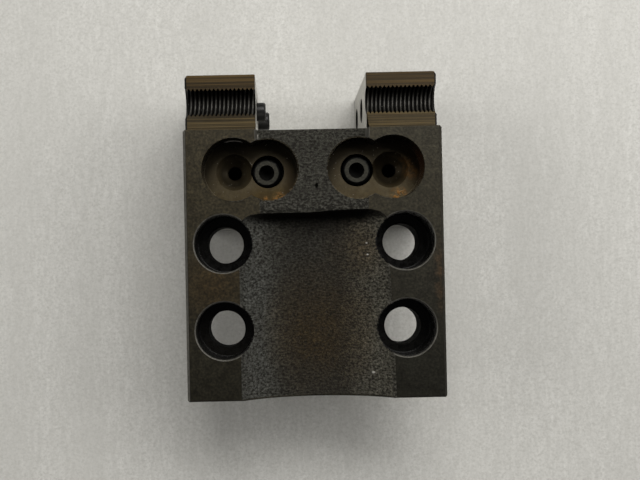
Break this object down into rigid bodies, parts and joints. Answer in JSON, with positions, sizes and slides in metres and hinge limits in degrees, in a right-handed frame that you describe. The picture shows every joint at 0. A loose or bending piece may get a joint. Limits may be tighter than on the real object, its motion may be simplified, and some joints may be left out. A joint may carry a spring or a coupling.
{
  "type": "lathe turret tool block",
  "caption": "Cast steel lathe turret block with counterbored bolt holes, clamp-screw posts either side of a square-shank tool channel, and coolant nozzle seats.",
  "frame": {"origin": "centre of the footprint's bounding box, on the surface the block lies on with its mounting side down", "axes": "+Z out of the front face with the bolt counterbores, +Y along the block towards the clamp-screw posts, +X across the block from the post that holds the clamp screws to the empty one"},
  "size_m": [0.09, 0.116, 0.058],
  "materials": {
    "blackened_cast_steel": "blackened, oiled; smooth milled pads, bare milled post fronts and rough as-cast relief",
    "black_oxide_steel": "black oxide, worn bright on the edges",
    "plug_steel": "phosphated",
    "ground_key_steel": "ground",
    "seal_rubber": "matt"
  },
  "bodies": {
    "block": {"holder_body": "blackened_cast_steel", "gallery_plug_left": "plug_steel", "gallery_plug_right": "plug_steel", "gallery_plug_back": "plug_steel", "gallery_plug_top": "plug_steel", "inlet_o_ring": "seal_rubber", "locating_key": "ground_key_steel", "key_screw_left": "black_oxide_steel", "key_screw_right": "black_oxide_steel"},
    "clamp_front": {"clamp_screw_front": "black_oxide_steel"},
    "clamp_rear": {"clamp_screw_rear": "black_oxide_steel"},
    "nozzle_left": {"nozzle_screw_left": "black_oxide_steel"},
    "nozzle_right": {"nozzle_screw_right": "black_oxide_steel"}
  },
  "joints": [
    {"name": "clamp_front_travel", "type": "slide", "parent": "block", "child": "clamp_front", "axis": [1, 0, 0], "range_m": [-0.0034, 0.0116]},
    {"name": "clamp_rear_travel", "type": "slide", "parent": "block", "child": "clamp_rear", "axis": [1, 0, 0], "range_m": [-0.0045, 0.0105]},
    {"name": "nozzle_left_travel", "type": "slide", "parent": "block", "child": "nozzle_left", "axis": [0, 0, 1], "range_m": [0, 0.006]},
    {"name": "nozzle_right_travel", "type": "slide", "parent": "block", "child": "nozzle_right", "axis": [0, 0, 1], "range_m": [0, 0.006]}
  ]
}
